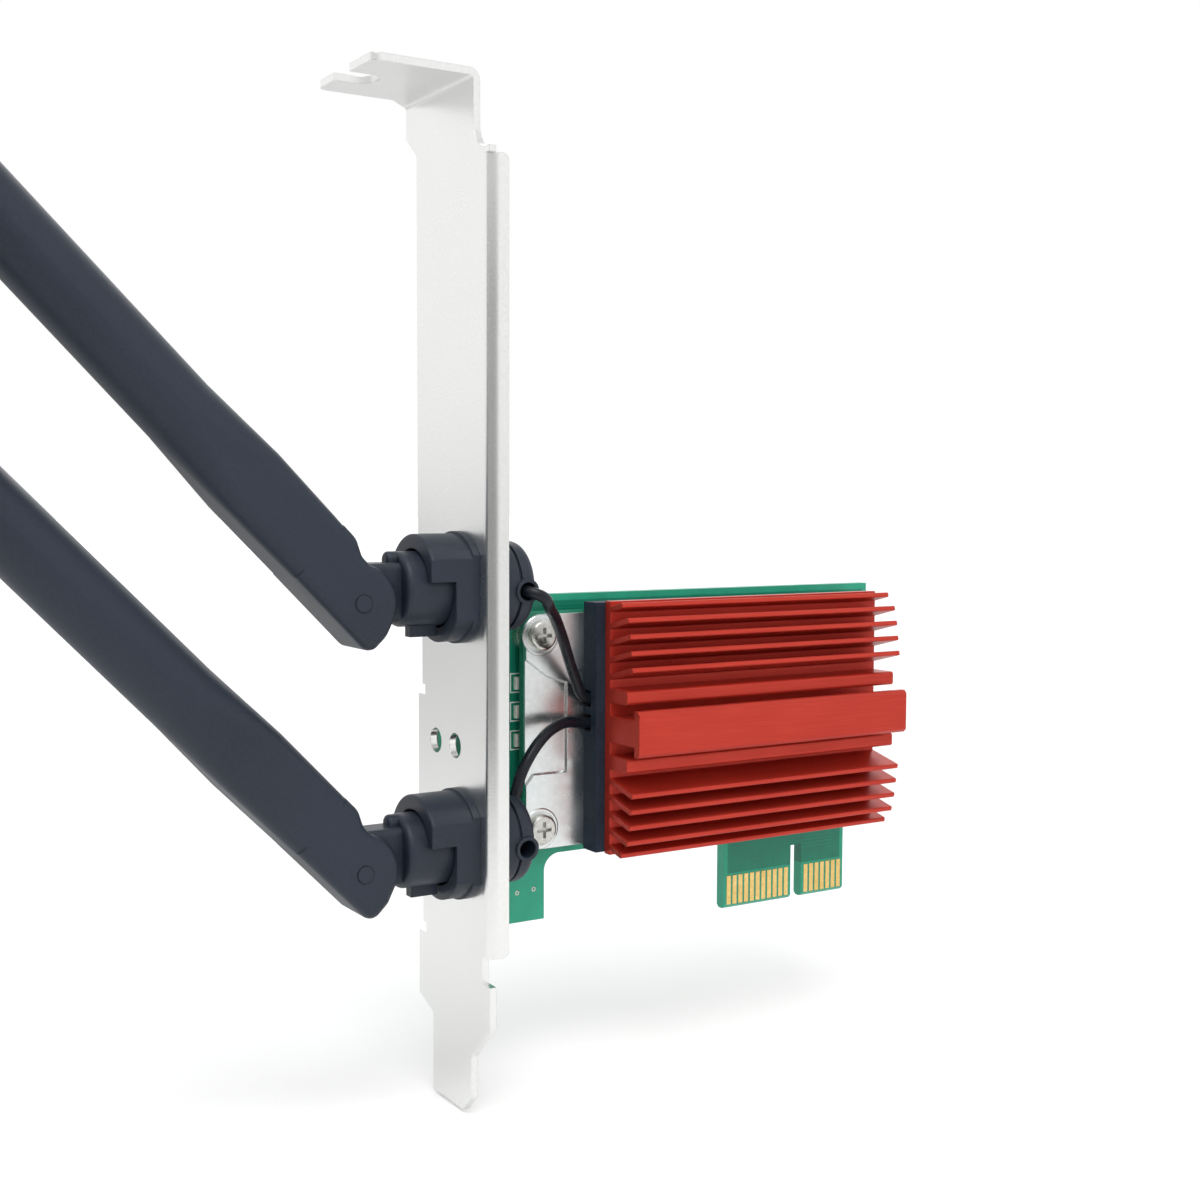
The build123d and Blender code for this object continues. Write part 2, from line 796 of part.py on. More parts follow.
def make_swivel_barrel(level):
    """Turned barrel and shaft with a catch at its end, a hinge tongue, a stop lug and a nub."""
    out = swivel_plane(level)
    pivot = (-pivot_out, level - pivot_drop)
    root_x = -barrel_end + (barrel_end - lead_bore_end) / 2
    round_mid = barrel_round - diagonal * barrel_round
    with BuildPart() as barrel:
        with BuildSketch(facing(antenna_y)):
            with Locations(pivot):
                Circle(tongue_radius)
            with BuildLine():
                Polyline(
                    (pivot[0], pivot[1] - tongue_radius),
                    (root_x, pivot[1] - tongue_radius),
                    (root_x, pivot[1] + tongue_top),
                    (pivot[0] + tongue_lean, pivot[1] + tongue_top),
                    (pivot[0] - tongue_radius, pivot[1]),
                    close=True,
                )
            make_face()
        extrude(amount=tongue_thickness / 2, both=True)
        top_edges = barrel.edges().filter_by(Axis.X).group_by(Axis.Z)[-1]
        fillet(top_edges, tongue_round)
        with BuildSketch(turning_plane(level)):
            with BuildLine():
                Polyline(
                    (-barrel_end + barrel_round, barrel_radius),
                    (-floor_out, barrel_radius),
                    (-floor_out, shaft_radius),
                    (catch_start, shaft_radius),
                    (catch_start, catch_radius),
                    (catch_end - catch_chamfer, catch_radius),
                    (catch_end, catch_radius - catch_chamfer),
                    (catch_end, lead_bore + bore_mouth),
                    (catch_end - bore_mouth, lead_bore),
                    (-lead_bore_end, lead_bore),
                    (-lead_bore_end, 0),
                    (-barrel_end, 0),
                    (-barrel_end, barrel_radius - barrel_round),
                )
                ThreePointArc(
                    (-barrel_end, barrel_radius - barrel_round),
                    (-barrel_end + round_mid, barrel_radius - round_mid),
                    (-barrel_end + barrel_round, barrel_radius),
                )
            make_face()
        revolve(axis=swivel_axis(level))
        with BuildSketch(out.offset(ring_depth + side_gap)):
            with Locations((0, -barrel_radius - lug_height)):
                Rectangle(lug_width, 2 * lug_height, align=(Align.CENTER, Align.MIN))
        extrude(amount=lug_length)
        with BuildSketch(out.offset(barrel_end - barrel_round)):
            with Locations((0, nub_offset)):
                Circle(nub_radius)
        extrude(amount=barrel_round + nub_length)
        nub_rims = barrel.edges().filter_by(GeomType.CIRCLE)
        nub_end = -barrel_end - nub_length
        fillet(nub_rims.filter_by_position(Axis.X, nub_end - 0.01, nub_end + 0.01), nub_round)
        with BuildSketch(facing(antenna_y)):
            with Locations(pivot):
                Circle(pin_radius + running_fit)
        extrude(amount=tongue_thickness, both=True, mode=Mode.SUBTRACT)
    return barrel.part


def make_retaining_cap(level, notched):
    """Turned cap that grips the shank behind the bracket, with a side outlet and perhaps a top notch."""
    outlet = Plane(origin=(outlet_x, antenna_y, level), z_dir=outlet_way)
    round_mid = cap_round - diagonal * cap_round
    with BuildPart() as cap:
        with BuildSketch(turning_plane(level)):
            with BuildLine():
                Polyline(
                    (cap_end, cap_radius - cap_round),
                    (cap_end, 0),
                    (cap_cavity, 0),
                    (cap_cavity, cap_bore),
                    (sheet, cap_bore),
                    (sheet, cap_radius),
                    (cap_groove_x - cap_groove_width, cap_radius),
                    (cap_groove_x - cap_groove_width, cap_radius - cap_groove_depth),
                    (cap_groove_x, cap_radius - cap_groove_depth),
                    (cap_groove_x, cap_radius),
                    (cap_end - cap_round, cap_radius),
                )
                ThreePointArc(
                    (cap_end - cap_round, cap_radius),
                    (cap_end - round_mid, cap_radius - round_mid),
                    (cap_end, cap_radius - cap_round),
                )
            make_face()
        revolve(axis=swivel_axis(level))
        with BuildSketch(outlet.offset((cap_bore + cap_radius) / 2)):
            Circle(boss_radius)
        extrude(amount=(cap_radius - cap_bore) / 2 + boss_proud)
        with BuildSketch(outlet):
            Circle(outlet_radius)
        extrude(amount=2 * cap_radius, mode=Mode.SUBTRACT)
        if notched:
            with BuildSketch(Plane(origin=(cap_end, antenna_y, level), x_dir=(0, 0, 1), z_dir=(1, 0, 0))):
                Circle(cap_notch_width / 2)
                Rectangle(2 * cap_radius, cap_notch_width, align=(Align.MIN, Align.CENTER))
            extrude(amount=-cap_notch_depth, mode=Mode.SUBTRACT)
    return cap.part


def make_hinge_pin(level):
    """Pin held in the sleeve's cheeks."""
    with BuildPart() as pin:
        with BuildSketch(hinge_plane(level)):
            Circle(pin_radius)
        extrude(amount=knuckle_width / 2 + pin_proud, both=True)
    return pin.part


def make_sleeve(level):
    """Hollow antenna sleeve with a forked end at its hinge and a domed tip."""
    arm = arm_plane(level)
    hinge = hinge_plane(level)
    below = arm_rise - sleeve_root / 2
    above = arm_rise + sleeve_root / 2
    block_end = shoulder_along + shoulder_round
    valley_start = math.sqrt(knuckle_radius**2 - valley_above**2)
    lean = math.radians(heel_lean)
    lean_along = -knuckle_radius * math.cos(lean)
    lean_above = knuckle_radius * math.sin(lean)
    heel_above = lean_above - (heel_along + lean_along) / math.tan(lean)
    sections = [
        (shoulder_along, sleeve_root, knuckle_width, root_corner),
        (swell_from, sleeve_swell, knuckle_width, swell_corner),
        (round_from, sleeve_round, sleeve_round, 0.49 * sleeve_round),
    ]
    for angle in (0, 30, 55, 75):
        way = sleeve_length - tip_round + tip_round * math.sin(math.radians(angle))
        size = sleeve_tip - 2 * tip_round * (1 - math.cos(math.radians(angle)))
        sections.append((way, size, size, 0.49 * size))
    with BuildPart() as sleeve:
        with BuildSketch(hinge) as end_outline:
            with BuildLine():
                ThreePointArc(
                    (lean_along, lean_above),
                    (-diagonal * knuckle_radius, diagonal * knuckle_radius),
                    (valley_start, valley_above),
                )
                Polyline(
                    (valley_start, valley_above),
                    (valley_along, valley_above),
                    (shoulder_along, above),
                    (block_end, above),
                    (block_end, below),
                    (-heel_along, below),
                    (-heel_along, heel_above),
                    (lean_along, lean_above),
                )
            make_face()
            for spot, radius in (
                ((valley_start, valley_above), valley_round),
                ((valley_along, valley_above), valley_round),
                ((shoulder_along, above), shoulder_round),
                ((-heel_along, below), heel_round),
                ((-heel_along, heel_above), heel_bend),
            ):
                fillet(end_outline.vertices().sort_by_distance((*spot, 0))[0], radius)
        extrude(amount=knuckle_width / 2, both=True)
        cheek_faces = sleeve.faces().sort_by(Axis.Y)
        cheek_edges = cheek_faces[0].edges() + cheek_faces[-1].edges()
        block_edges = [e for e in cheek_edges if hinge.to_local_coords(e.center()).X < block_end - 0.01]
        fillet(block_edges, knuckle_round)
        for way, height, width, corner in sections:
            with BuildSketch(arm.offset(way)):
                with Locations((arm_rise, 0)):
                    RectangleRounded(height, width, corner)
        loft(ruled=True)
        with BuildSketch(hinge):
            with Locations((fork_depth, below + fork_wall)):
                Rectangle(3 * knuckle_radius, 3 * knuckle_radius, align=(Align.MAX, Align.MIN))
        extrude(amount=tongue_thickness / 2 + side_gap, both=True, mode=Mode.SUBTRACT)
        with BuildSketch(hinge_plane(level)):
            Circle(pin_radius + pin_fit)
        extrude(amount=knuckle_width, both=True, mode=Mode.SUBTRACT)
        with BuildSketch(arm.offset(fork_depth - side_gap)):
            with Locations((arm_rise, 0)):
                Circle(radiator_bore)
        extrude(amount=radiator_end - fork_depth + 2 * side_gap, mode=Mode.SUBTRACT)
    return sleeve.part


def make_radiator(level):
    """Radiating rod with a wider can, inside the sleeve."""
    arm = arm_plane(level)
    with BuildPart() as radiator:
        with BuildSketch(arm.offset(radiator_start)):
            with Locations((arm_rise, 0)):
                Circle(radiator_rod)
        extrude(amount=radiator_end - radiator_start)
        with BuildSketch(arm.offset(radiator_can_start)):
            with Locations((arm_rise, 0)):
                Circle(radiator_bore - radiator_gap)
        extrude(amount=radiator_can_length)
    return radiator.part


def lead_route(side, way_out, bows):
    """Points from inside a barrel, out of its cap, along bows that are shares of the way, to a plug."""
    leave = Vector(*way_out[-1])
    enter = Vector(pad_left - lead_straight, lead_y, plug_levels[side])
    across = enter - leave
    points = [(-lead_start, antenna_y, antenna_levels[side]), *way_out]
    for x, y, z in bows:
        points.append((leave.X + x * across.X, leave.Y + y * across.Y, leave.Z + z * across.Z))
    return [*points, tuple(enter), (tail_end, lead_y, plug_levels[side])]


def outlet_point(level, out, ahead):
    """Point on a cap's side outlet, so far out from the antenna's axis and so far ahead of the bore."""
    return (outlet_x + ahead, antenna_y + out * outlet_way[1], level + out * outlet_way[2])


upper = antenna_levels["upper"]
lower = antenna_levels["lower"]
lead_routes = {
    "upper": lead_route(
        "upper",
        [
            outlet_point(upper, 0, 0),
            outlet_point(upper, outlet_run, 0),
            outlet_point(upper, cap_radius + exit_out, exit_ahead),
            (outlet_x + loop_ahead, antenna_y - loop_side, upper - loop_drop),
        ],
        [(0.09, 0.108, 0.087), (0.277, 0.327, 0.182), (0.546, 0.643, 0.386), (0.79, 0.876, 0.691)],
    ),
    "lower": lead_route(
        "lower",
        [
            (cap_end - lead_turn, antenna_y, lower),
            (cap_end - rise_in, antenna_y, lower + rise_height),
            (cap_end + rise_out, antenna_y, lower + 2 * rise_height),
        ],
        [(0.175, 0.11, 0.553), (0.42, 0.4, 0.954), (0.72, 0.75, 1.121)],
    ),
}

parts = {
    "bracket": bracket.part,
    "circuit_board": circuit_board.part,
    "edge_contacts": edge_contacts.part,
    "indicator_lamps": indicator_lamps.part,
    "board_screws": board_screws.part,
    "module_standoffs": module_standoffs.part,
    "module_board": module_board.part,
    "module_socket": module_socket.part,
    "heat_spreader": heat_spreader.part,
    "radio_chip": radio_chip.part,
    "module_screws": module_screws.part,
    "gap_pad": gap_pad.part,
    "heat_sink": heat_sink.part,
    "coax_receptacles": coax_receptacles.part,
}
for side, level in antenna_levels.items():
    parts[f"{side}_plug"] = make_plug(plug_levels[side])
    parts[f"{side}_lead"] = make_lead(f"{side}_lead", lead_routes[side])
    parts[f"{side}_antenna_base"] = make_antenna_base(level)
    parts[f"{side}_retaining_cap"] = make_retaining_cap(level, side == "lower")
    parts[f"{side}_swivel_barrel"] = make_swivel_barrel(level)
    parts[f"{side}_hinge_pin"] = make_hinge_pin(level)
    parts[f"{side}_sleeve"] = make_sleeve(level)
    parts[f"{side}_radiator"] = make_radiator(level)

os.makedirs("parts", exist_ok=True)
for label, part in parts.items():
    part.label = label
    export_step(part, f"parts/{label}.step")
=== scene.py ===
import math

import bmesh
import bpy
from mathutils import Matrix, Vector


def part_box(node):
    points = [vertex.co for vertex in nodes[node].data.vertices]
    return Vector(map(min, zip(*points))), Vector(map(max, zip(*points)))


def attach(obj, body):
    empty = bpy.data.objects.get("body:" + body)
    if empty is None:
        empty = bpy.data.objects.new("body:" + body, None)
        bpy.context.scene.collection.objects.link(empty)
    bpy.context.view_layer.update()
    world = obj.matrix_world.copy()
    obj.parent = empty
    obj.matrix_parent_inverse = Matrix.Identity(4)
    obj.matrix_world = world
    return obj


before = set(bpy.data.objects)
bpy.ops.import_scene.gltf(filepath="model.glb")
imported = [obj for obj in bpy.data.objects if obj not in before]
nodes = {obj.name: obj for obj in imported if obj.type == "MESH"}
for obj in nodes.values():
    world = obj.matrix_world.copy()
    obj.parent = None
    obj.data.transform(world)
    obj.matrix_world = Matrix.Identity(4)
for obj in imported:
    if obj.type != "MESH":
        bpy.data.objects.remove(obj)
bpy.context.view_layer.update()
scene = bpy.context.scene
MM = 0.001
WHITE = (1, 1, 1, 1)
VIA_TIN = (0.30, 0.42, 0.26, 1)
GRAIN_DEPTH = 0.04 * MM
TRACE_DEPTH = 0.03 * MM
# Side of the room that polished metal mirrors as dim
DIM_SIDE = (-0.72, -0.69, 0.0)


def start_material(name, metallic=0.0, **sockets):
    """New material with its tree, its shader and object coordinates ready to use."""
    material = bpy.data.materials.new(name)
    material.use_nodes = True
    tree = material.node_tree
    shader = tree.nodes["Principled BSDF"]
    shader.inputs["Metallic"].default_value = metallic
    for socket, value in sockets.items():
        shader.inputs[socket.replace("_", " ")].default_value = value
    place = tree.nodes.new("ShaderNodeTexCoord")
    return material, tree, shader, place.outputs["Object"]


def node(tree, kind, settings=None, **inputs):
    """Adds a node. A keyword names an input, or numbers it as i0, and links a socket or sets a value."""
    made = tree.nodes.new("ShaderNode" + kind)
    for key, value in (settings or {}).items():
        setattr(made, key, value)
    for key, value in inputs.items():
        numbered = key[0] == "i" and key[1:].isdigit()
        target = made.inputs[int(key[1:]) if numbered else key.replace("_", " ")]
        if isinstance(value, bpy.types.NodeSocket):
            tree.links.new(value, target)
        else:
            target.default_value = value
    return made


def maths(tree, operation, first, second):
    """Result of one operation on two numbers."""
    return node(tree, "Math", {"operation": operation}, i0=first, i1=second).outputs[0]


def choose(tree, factor, first, second):
    """Number between two numbers."""
    return node(tree, "Mix", {"data_type": "FLOAT"}, Factor=factor, i2=first, i3=second).outputs["Result"]


def mix(tree, factor, first, second, way="MIX"):
    """Colour between two colours, or made from both."""
    settings = {"data_type": "RGBA", "blend_type": way}
    return node(tree, "Mix", settings, Factor=factor, i6=first, i7=second).outputs[2]


def ramp(tree, factor, *stops):
    """Colour ramp through (position, colour) stops, where a number stands for a grey."""
    made = node(tree, "ValToRGB", Fac=factor)
    while len(made.color_ramp.elements) < len(stops):
        made.color_ramp.elements.new(0.5)
    for element, (position, colour) in zip(made.color_ramp.elements, stops):
        element.position = position
        element.color = (*colour, 1) if isinstance(colour, tuple) else (colour, colour, colour, 1)
    return made.outputs["Color"]


def spread(tree, factor, low, high):
    """A value between low and high that follows a noise."""
    made = node(tree, "MapRange", Value=factor, From_Min=0.3, From_Max=0.7, To_Min=low, To_Max=high)
    return made.outputs["Result"]


def glossy_ray(tree):
    """One for rays that a polished surface mirrors."""
    return node(tree, "LightPath").outputs["Is Glossy Ray"]


def seen_ray(tree):
    """One for rays that show the background: from the camera, off metal or through glass."""
    path = node(tree, "LightPath")
    seen = path.outputs["Is Camera Ray"]
    for name in ("Is Glossy Ray", "Is Transmission Ray"):
        seen = maths(tree, "MAXIMUM", seen, path.outputs[name])
    return seen


def dim_side(tree, direction, middle, darkest):
    """Grey that falls towards the dim side of the room."""
    settings = {"operation": "DOT_PRODUCT"}
    toward = node(tree, "VectorMath", settings, i0=direction, i1=DIM_SIDE).outputs["Value"]
    return ramp(tree, toward, (0.45, 1), (0.66, middle), (0.90, darkest))


def surface(
    name, dark, light, rough, grain, bump,
    stretch=(1, 1, 1), blotch=70.0, metallic=0.0, edge=0.12, **sockets,
):
    """Mottled, grained surface: colour between dark and light, roughness in a range, bump from the grain.

    Edges look rounded by edge, in millimetres.
    """
    material, tree, shader, place = start_material(name, metallic, **sockets)
    stretched = node(tree, "Mapping", Vector=place, Scale=stretch).outputs["Vector"]
    fine = node(tree, "TexNoise", Vector=stretched, Scale=grain, Detail=4.0).outputs["Fac"]
    broad = node(tree, "TexNoise", Vector=place, Scale=blotch, Detail=3.0).outputs["Fac"]
    both = maths(tree, "ADD", maths(tree, "MULTIPLY", fine, 0.5), maths(tree, "MULTIPLY", broad, 0.5))
    colour = ramp(tree, both, (0.32, dark), (0.68, light))
    tree.links.new(colour, shader.inputs["Base Color"])
    tree.links.new(spread(tree, broad, *rough), shader.inputs["Roughness"])
    rounded = node(tree, "Bevel", Radius=edge * MM).outputs["Normal"]
    relief = node(tree, "Bump", Height=fine, Normal=rounded, Strength=bump, Distance=GRAIN_DEPTH)
    tree.links.new(relief.outputs["Normal"], shader.inputs["Normal"])
    return material


def inside_areas(tree, split, areas):
    """One inside any of the areas, which are spans of X and Z in millimetres, and zero outside."""
    inside = None
    for x0, x1, z0, z1 in areas:
        area = None
        for axis, low, high in (("X", x0, x1), ("Z", z0, z1)):
            for bound, way in ((low, "GREATER_THAN"), (high, "LESS_THAN")):
                test = maths(tree, way, split.outputs[axis], bound * MM)
                area = test if area is None else maths(tree, "MULTIPLY", area, test)
        inside = area if inside is None else maths(tree, "MAXIMUM", inside, area)
    return inside


def board_material(name, bare, mask, trace, areas):
    """Solder mask with traces and vias inside the copper areas, and bare laminate round them."""
    cell_scale, track_scale, via_scale, mottle_scale = 120.0, 640.0, 210.0, 300.0
    track_level, via_radius = 0.62, 0.055
    material, tree, shader, place = start_material(
        name, Coat_Weight=0.10, Coat_Roughness=0.2, Specular_IOR_Level=0.4
    )
    split = node(tree, "SeparateXYZ", Vector=place)
    inside = inside_areas(tree, split, areas)
    flat = node(tree, "CombineXYZ", X=split.outputs["X"], Y=split.outputs["Z"]).outputs["Vector"]
    settings = {"distance": "MANHATTAN"}
    cells = node(tree, "TexVoronoi", settings, Vector=flat, Scale=cell_scale, Randomness=0.8)
    pick = node(tree, "SeparateColor", Color=cells.outputs["Color"])
    turned = node(tree, "Mapping", Vector=flat, Rotation=(0, 0, math.radians(45))).outputs["Vector"]
    lines = []
    for vector, way in ((flat, "X"), (flat, "Y"), (turned, "X")):
        settings = {"bands_direction": way}
        wave = node(tree, "TexWave", settings, Vector=vector, Scale=track_scale, Distortion=0.0)
        lines.append(maths(tree, "GREATER_THAN", wave.outputs["Fac"], track_level))
    tracks = choose(tree, maths(tree, "GREATER_THAN", pick.outputs["Red"], 0.55), lines[0], lines[1])
    tracks = choose(tree, maths(tree, "GREATER_THAN", pick.outputs["Green"], 0.7), tracks, lines[2])
    tracks = maths(tree, "MULTIPLY", tracks, maths(tree, "GREATER_THAN", pick.outputs["Blue"], 0.5))
    tracks = maths(tree, "MULTIPLY", tracks, inside)
    holes = node(tree, "TexVoronoi", Vector=flat, Scale=via_scale, Randomness=1.0).outputs["Distance"]
    vias = maths(tree, "MULTIPLY", maths(tree, "LESS_THAN", holes, via_radius), inside)
    mottle = node(tree, "TexNoise", Vector=place, Scale=mottle_scale, Detail=3.0).outputs["Fac"]
    ground = mix(tree, inside, (*bare, 1), (*mask, 1))
    ground = mix(tree, tracks, ground, (*trace, 1))
    ground = mix(tree, vias, ground, VIA_TIN)
    ground = mix(tree, 1.0, ground, ramp(tree, mottle, (0.3, 0.86), (0.7, 1.06)), "MULTIPLY")
    tree.links.new(ground, shader.inputs["Base Color"])
    tree.links.new(spread(tree, mottle, 0.3, 0.42), shader.inputs["Roughness"])
    height = maths(tree, "ADD", tracks, vias)
    relief = node(tree, "Bump", Height=height, Strength=0.35, Distance=TRACE_DEPTH)
    tree.links.new(relief.outputs["Normal"], shader.inputs["Normal"])
    return material


# Finishes
steel = surface(
    "satin_nickel", (0.82, 0.825, 0.81), (0.93, 0.935, 0.92),
    rough=(0.22, 0.32), grain=3400.0, bump=0.12, blotch=30.0, metallic=1.0,
)
screw_steel = surface(
    "plated_screw", (0.46, 0.46, 0.43), (0.74, 0.73, 0.68),
    rough=(0.18, 0.34), grain=2600.0, bump=0.12, blotch=500.0, metallic=1.0,
)
anodised = surface(
    "red_anodised", (0.43, 0.030, 0.018), (0.53, 0.047, 0.028),
    rough=(0.26, 0.38), grain=5200.0, bump=0.10, stretch=(0.03, 1, 1), blotch=60.0,
    metallic=0.45, edge=0.18, Specular_IOR_Level=0.3,
)
silver = surface(
    "bright_plate", (0.72, 0.76, 0.755), (0.86, 0.89, 0.885),
    rough=(0.22, 0.34), grain=1500.0, bump=0.05, blotch=160.0, metallic=1.0,
)
antenna_black = surface(
    "moulded_black", (0.0085, 0.0135, 0.0235), (0.0165, 0.024, 0.040),
    rough=(0.40, 0.54), grain=5200.0, bump=0.30, blotch=45.0, edge=0.25, Specular_IOR_Level=0.4,
)
lead_black = surface(
    "lead_jacket", (0.004, 0.006, 0.009), (0.009, 0.011, 0.016),
    rough=(0.24, 0.36), grain=5000.0, bump=0.25, blotch=300.0, edge=0.02, Specular_IOR_Level=0.3,
)
pad_black = surface(
    "gap_pad", (0.008, 0.014, 0.024), (0.016, 0.027, 0.044),
    rough=(0.55, 0.75), grain=2400.0, bump=0.6, blotch=200.0, edge=0.2, Specular_IOR_Level=0.25,
)
socket_black = surface(
    "socket_black", (0.016, 0.016, 0.017), (0.030, 0.030, 0.031),
    rough=(0.45, 0.6), grain=3200.0, bump=0.3,
)
chip_black = surface(
    "chip_black", (0.018, 0.018, 0.020), (0.030, 0.030, 0.033),
    rough=(0.4, 0.55), grain=4200.0, bump=0.4,
)
gold = surface(
    "contact_gold", (0.72, 0.47, 0.14), (0.92, 0.68, 0.28),
    rough=(0.14, 0.28), grain=2500.0, bump=0.08, blotch=300.0, metallic=1.0,
)
brass = surface(
    "plug_gold", (0.62, 0.45, 0.18), (0.84, 0.66, 0.34),
    rough=(0.18, 0.32), grain=2500.0, bump=0.1, blotch=300.0, metallic=1.0,
)
lamp_white = surface(
    "lamp_lens", (0.66, 0.68, 0.60), (0.86, 0.87, 0.80),
    rough=(0.15, 0.3), grain=2600.0, bump=0.1, blotch=900.0,
)
ink_white = surface(
    "white_ink", (0.74, 0.75, 0.72), (0.90, 0.90, 0.88),
    rough=(0.5, 0.65), grain=4000.0, bump=0.2, blotch=900.0,
)
board_green = board_material(
    "card_mask",
    bare=(0.018, 0.330, 0.200), mask=(0.005, 0.185, 0.110), trace=(0.007, 0.215, 0.129),
    areas=[(2.4, 68.9, 27.6, 59.2), (45.4, 65.4, 20.6, 28.0)],
)
module_green = board_material(
    "module_mask",
    bare=(0.02, 0.20, 0.12), mask=(0.006, 0.120, 0.074), trace=(0.010, 0.152, 0.092),
    areas=[(12.6, 60.0, 28.8, 57.3)],
)

finishes = {
    "bracket": steel,
    "circuit_board": board_green,
    "edge_contacts": gold,
    "indicator_lamps": lamp_white,
    "board_screws": screw_steel,
    "module_standoffs": screw_steel,
    "module_board": module_green,
    "module_socket": socket_black,
    "heat_spreader": silver,
    "radio_chip": chip_black,
    "module_screws": screw_steel,
    "gap_pad": pad_black,
    "heat_sink": anodised,
    "coax_receptacles": brass,
}
for side in ("upper", "lower"):
    finishes[f"{side}_plug"] = brass
    finishes[f"{side}_lead"] = lead_black
    finishes[f"{side}_radiator"] = brass
    for name in ("antenna_base", "retaining_cap", "swivel_barrel", "hinge_pin", "sleeve"):
        finishes[f"{side}_{name}"] = antenna_black
for name, material in finishes.items():
    nodes[name].data.materials.clear()
    nodes[name].data.materials.append(material)


# Printed and pressed trim
def piece(name, mesh_builder, material, body="card"):
    """New mesh piece from a function that fills a bmesh in millimetres."""
    shape = bmesh.new()
    mesh_builder(shape)
    bmesh.ops.recalc_face_normals(shape, faces=shape.faces)
    bmesh.ops.scale(shape, vec=(MM, MM, MM), verts=shape.verts)
    mesh = bpy.data.meshes.new(name)
    shape.to_mesh(mesh)
    shape.free()
    mesh.materials.append(material)
    made = bpy.data.objects.new(name, mesh)
    scene.collection.objects.link(made)
    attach(made, body)
    return made


def block(shape, low, high):
    """Box between two corners."""
    size = Vector(high) - Vector(low)
    middle = (Vector(high) + Vector(low)) / 2
    bmesh.ops.create_cube(shape, size=1.0, matrix=Matrix.Translation(middle) @ Matrix.Diagonal((*size, 1)))


def ring(shape, middle, inner, outer, low, high, turns=40):
    """Flat ring round a line along Y, its rim sloping down to the plate."""
    profile = ((inner, low), (inner, high), ((inner + 2 * outer) / 3, high), (outer, low))
    rows = []
    for step in range(turns):
        angle = 2 * math.pi * step / turns
        across, up = math.cos(angle), math.sin(angle)
        rows.append([shape.verts.new((middle[0] + r * across, y, middle[1] + r * up)) for r, y in profile])
    for row, following in zip(rows, rows[1:] + rows[:1]):
        for near, far in ((0, 1), (1, 2), (2, 3), (3, 0)):
            shape.faces.new((row[near], row[far], following[far], following[near]))


half_lamp = 0.8
lamp_low, lamp_high = (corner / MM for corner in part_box("indicator_lamps"))
board_low, board_high = (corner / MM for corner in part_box("circuit_board"))
screw_low, screw_high = (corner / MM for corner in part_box("module_screws"))
plate_face = (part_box("heat_spreader")[0] / MM).y
board_face = board_low.y
board_back = board_high.y
lamp_x = (lamp_low.x + lamp_high.x) / 2
lamp_levels = [lamp_low.z + half_lamp, (lamp_low.z + lamp_high.z) / 2, lamp_high.z - half_lamp]
head = (screw_high.x - screw_low.x) / 2
screw_x = screw_low.x + head


def lamp_frames(shape):
    """White printed frames round the lamps."""
    ink, width, height, line = 0.02, 0.95, 1.25, 0.16
    top = board_face - ink
    for level in lamp_levels:
        for side in (-1, 1):
            x = lamp_x + side * (width - line / 2)
            block(shape, (x - line / 2, top, level - height), (x + line / 2, board_face, level + height))
            z = level + side * (height - line / 2)
            block(
                shape,
                (lamp_x - width + line, top, z - line / 2),
                (lamp_x + width - line, board_face, z + line / 2),
            )


def screw_rings(shape):
    """Pressed rings round the heads of the module's screws."""
    gap, width, height = 0.25, 0.5, 0.12
    inner = head + gap
    for level in (screw_low.z + head, screw_high.z - head):
        ring(shape, (screw_x, level), inner, inner + width, plate_face, plate_face - height)


def leg_vias(shape):
    """Tinned rings of the two holes in the board's leg, on both sides."""
    hole, rim, height, turns = 0.16, 0.34, 0.03, 24
    for spot in ((12.4, 22.3), (14.8, 22.5)):
        ring(shape, spot, hole, rim, board_face, board_face - height, turns)
        ring(shape, spot, hole, rim, board_back, board_back + height, turns)


piece("lamp_frames", lamp_frames, ink_white)
piece("screw_rings", screw_rings, silver)
piece("leg_vias", leg_vias, screw_steel)

# Floor
bpy.ops.mesh.primitive_plane_add(size=8.0, location=(0, 0, -0.4 * MM))
floor = bpy.context.object
floor.name = "floor"
floor_material, tree, shader, place = start_material("pale_floor", Roughness=0.8)
glossy = glossy_ray(tree)
away = node(tree, "VectorMath", {"operation": "LENGTH"}, i0=place).outputs["Value"]
aim = node(tree, "VectorMath", {"operation": "NORMALIZE"}, i0=place).outputs["Vector"]
# Painted reflection shade: for mirrored rays only, the floor's colour darkens with distance and towards
# the dim side
dim = dim_side(tree, aim, (0.50, 0.50, 0.49), 0.16)
far = ramp(tree, away, (0.15, 0), (0.30, 1))
mirror_distance_shade = ramp(tree, away, (0.08, 0.92), (0.25, 0.74), (0.60, 0.70))
mirrored_floor_shade = mix(tree, 1.0, mirror_distance_shade, mix(tree, far, WHITE, dim), "MULTIPLY")
paper_and_mirror_shade = mix(tree, glossy, (0.92, 0.92, 0.92, 1), mirrored_floor_shade)
tree.links.new(paper_and_mirror_shade, shader.inputs["Base Color"])
grow = node(tree, "MapRange", Value=away, From_Min=0.3, From_Max=1.6, To_Min=0.13, To_Max=0.62)
share = node(tree, "MapRange", Value=glossy, To_Min=1.0, To_Max=0.1)
strength = maths(tree, "MULTIPLY", grow.outputs["Result"], share.outputs["Result"])
lift = node(tree, "Emission", Color=WHITE, Strength=strength)
bright = node(tree, "AddShader", i0=shader.outputs[0], i1=lift.outputs[0])
pick = node(tree, "MixShader", i0=seen_ray(tree), i1=shader.outputs[0], i2=bright.outputs[0])
tree.links.new(pick.outputs[0], tree.nodes["Material Output"].inputs["Surface"])
floor.data.materials.append(floor_material)

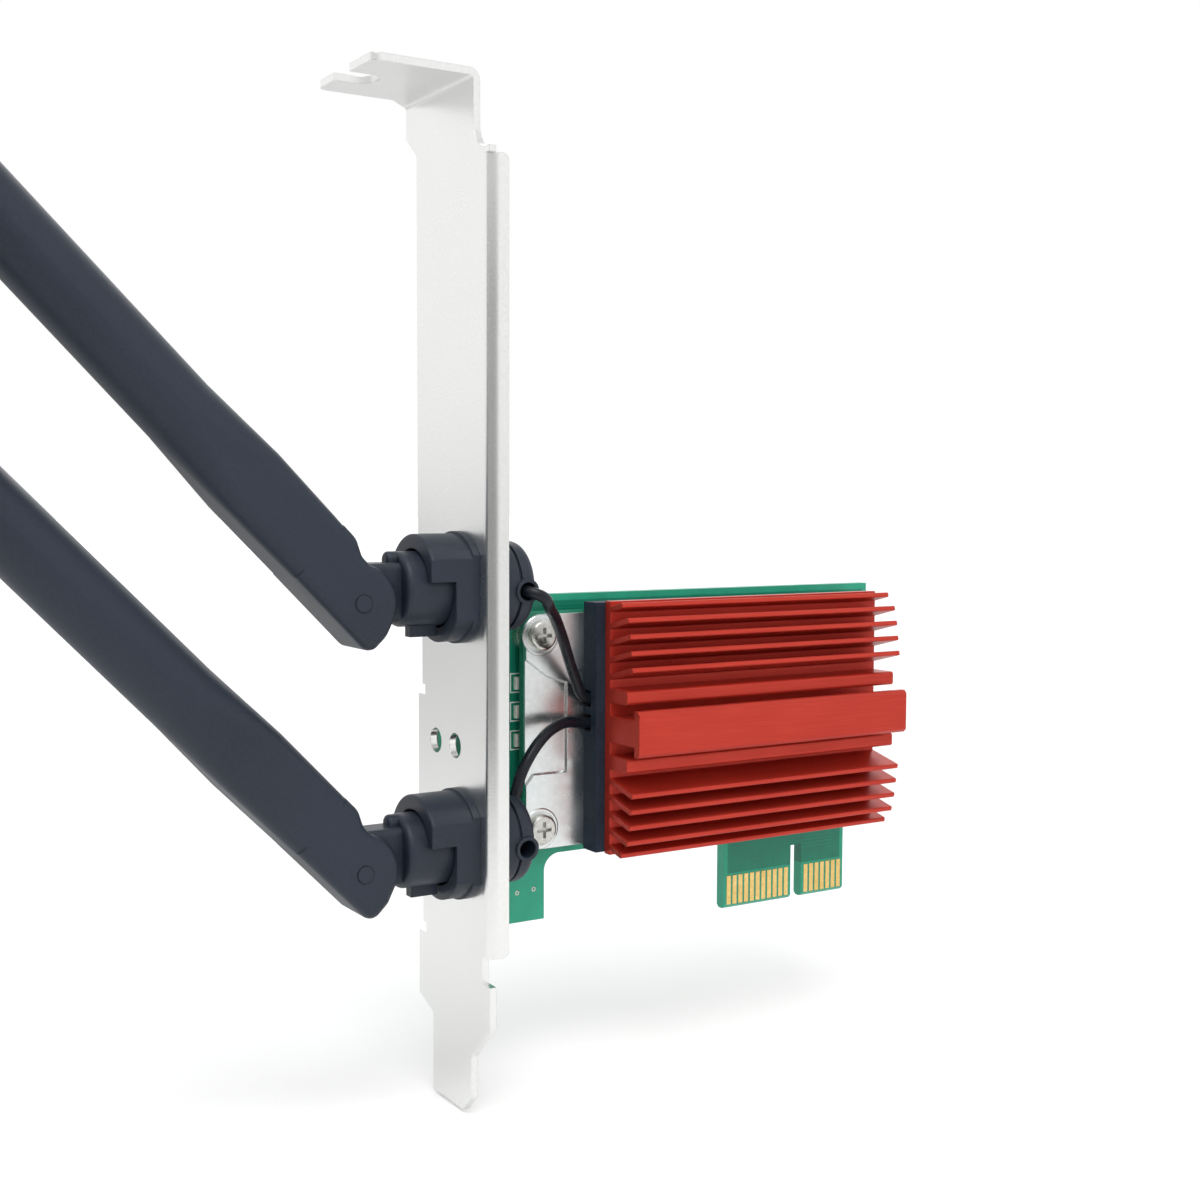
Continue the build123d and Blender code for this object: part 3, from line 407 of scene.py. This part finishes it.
# Room
world = bpy.data.worlds.new("studio")
scene.world = world
world.use_nodes = True
tree = world.node_tree
tree.nodes.clear()
sky = node(tree, "TexCoord").outputs["Generated"]
height = node(tree, "SeparateXYZ", Vector=sky).outputs["Z"]
rise = node(tree, "MapRange", Value=height, From_Min=-1.0, From_Max=1.0).outputs["Result"]
shade = ramp(tree, rise, (0.45, (0.50, 0.50, 0.51)), (0.85, 1))
studio = node(tree, "Background", Color=shade, Strength=0.70)
# Painted reflection shade: for mirrored rays only, the room is darker towards the dim side near the
# horizon and darker overhead
dim = dim_side(tree, sky, (0.55, 0.55, 0.54), 0.20)
band = ramp(tree, rise, (0.35, 0), (0.475, 1), (0.54, 1), (0.65, 0))
mirrored_ceiling_shade = ramp(tree, rise, (0.66, 1), (0.90, 0.76))
mirror = mix(tree, band, mirrored_ceiling_shade, dim)
shown = mix(tree, glossy_ray(tree), WHITE, mirror)
plain = node(tree, "Background", Color=shown, Strength=1.0)
pick = node(tree, "MixShader", i0=seen_ray(tree), i1=studio.outputs[0], i2=plain.outputs[0])
tree.links.new(pick.outputs[0], node(tree, "OutputWorld").inputs["Surface"])


# Lamps
def lamp(name, place, target, size, power, mirrored=True):
    """Soft square lamp that shines at a target, and shows in polished metal where mirrored."""
    light = bpy.data.lights.new(name, "AREA")
    light.size = size
    light.energy = power
    made = bpy.data.objects.new(name, light)
    made.location = place
    made.visible_glossy = mirrored
    made.rotation_euler = (Vector(target) - Vector(place)).to_track_quat("-Z", "Y").to_euler()
    scene.collection.objects.link(made)


lamp("key", (-0.15, -0.32, 0.75), (0.0, 0.0, 0.05), size=0.45, power=2.8)
lamp("fill", (0.55, -0.50, 0.25), (0.03, 0.0, 0.05), size=0.5, power=0.6, mirrored=False)
lamp("front", (-0.25, -0.55, 0.30), (0.0, 0.0, 0.05), size=0.5, power=1.4, mirrored=False)
lamp("back", (0.40, 0.60, 0.50), (0.0, 0.0, 0.07), size=0.5, power=0.9)

# Camera
yaw, pitch, roll = (math.radians(angle) for angle in (32.05, 3.88, 0.23))
ahead = Vector((math.sin(yaw) * math.cos(pitch), math.cos(yaw) * math.cos(pitch), -math.sin(pitch)))
level_right = Vector((math.cos(yaw), -math.sin(yaw), 0))
level_up = level_right.cross(ahead)
right = math.cos(roll) * level_right + math.sin(roll) * level_up
up = -math.sin(roll) * level_right + math.cos(roll) * level_up
camera = bpy.data.objects.new("camera", bpy.data.cameras.new("camera"))
camera.data.sensor_width = 36.0
camera.data.lens = 47.42
camera.data.clip_start = 0.005
camera.data.clip_end = 50.0
pose = Matrix((right, up, -ahead)).transposed().to_4x4()
pose.translation = Vector((-83.19, -165.37, 72.76)) * MM
camera.matrix_world = pose
scene.collection.objects.link(camera)
scene.camera = camera
scene.view_settings.view_transform = "Standard"
